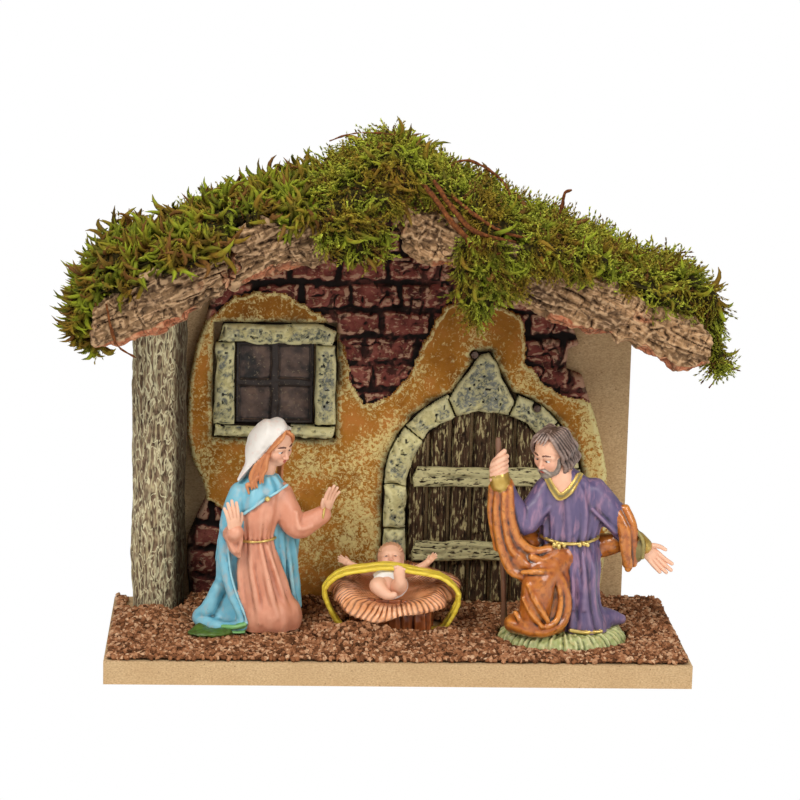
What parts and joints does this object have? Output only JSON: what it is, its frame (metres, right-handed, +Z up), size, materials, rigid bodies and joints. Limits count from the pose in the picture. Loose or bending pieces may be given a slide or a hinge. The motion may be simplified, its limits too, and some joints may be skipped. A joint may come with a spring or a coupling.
{
  "type": "nativity scene",
  "caption": "Small stable with a moss-covered cork bark roof on a flat base board, sheltering kneeling painted figures and a child that lies in a manger under an elastic band.",
  "frame": {"origin": "centre of the base board's underside", "axes": "+X to the viewer's right along the front edge, +Y into the stable away from the viewer, +Z up"},
  "size_m": [0.2325, 0.0898, 0.1839],
  "materials": {
    "fibreboard": "matt raw fibreboard",
    "granulated_cork": "loose cork granules",
    "painted_bark": "dry-brushed bark",
    "stucco": "painted stucco relief",
    "cast_stone": "dry-brushed stone relief",
    "dark_timber": "painted timber relief",
    "pale_timber": "dry-brushed timber relief",
    "cork_bark": "raw cork bark",
    "moss": "dried moss",
    "nail_steel": "wire nail",
    "blue_figure": "hand-painted satin",
    "purple_figure": "hand-painted satin",
    "skin_paint": "hand-painted satin",
    "grass_base": "painted grass relief",
    "staff_brown": "brown lacquer",
    "manger_brown": "painted timber relief",
    "straw": "painted straw relief",
    "elastic": "yellow elastic"
  },
  "bodies": {
    "stable": {"base_board": "fibreboard", "back_panel": "fibreboard", "roof_board_left": "fibreboard", "roof_board_right": "fibreboard", "ground_cork": "granulated_cork", "corner_post": "painted_bark", "facade_wall": "stucco", "arch_stone_left_1": "cast_stone", "arch_stone_left_2": "cast_stone", "arch_stone_left_3": "cast_stone", "arch_stone_left_4": "cast_stone", "keystone": "cast_stone", "arch_stone_right_4": "cast_stone", "arch_stone_right_3": "cast_stone", "arch_stone_right_2": "cast_stone", "arch_stone_right_1": "cast_stone", "window_sill": "cast_stone", "window_lintel": "cast_stone", "window_left_jamb": "cast_stone", "window_right_jamb": "cast_stone", "window_casement": "dark_timber", "door_leaf": "dark_timber", "door_batten_lower": "pale_timber", "door_batten_upper": "pale_timber", "bark_left_lower": "cork_bark", "bark_left_upper": "cork_bark", "bark_right_upper": "cork_bark", "bark_right_lower": "cork_bark", "moss_left": "moss", "moss_ridge": "moss", "moss_right": "moss", "panel_nail_1": "nail_steel", "panel_nail_2": "nail_steel", "panel_nail_3": "nail_steel", "post_nail_1": "nail_steel", "post_nail_2": "nail_steel", "roof_nail_1": "nail_steel", "roof_nail_2": "nail_steel", "roof_nail_3": "nail_steel", "roof_nail_4": "nail_steel", "facade_pin_1": "nail_steel", "facade_pin_2": "nail_steel", "mary_figure": "blue_figure", "mary_left_hand": "skin_paint", "mary_right_hand": "skin_paint", "mary_base": "grass_base", "joseph_figure": "purple_figure", "joseph_right_hand": "skin_paint", "joseph_left_hand": "skin_paint", "joseph_base": "grass_base", "staff": "staff_brown", "manger_box": "manger_brown", "manger_straw": "straw", "elastic_band": "elastic"},
    "child": {"child": "skin_paint"}
  },
  "joints": [
    {"name": "child_lift", "type": "slide", "parent": "stable", "child": "child", "axis": [0, 0, 1], "range_m": [0, 0.03], "deforming": ["elastic_band"]}
  ]
}
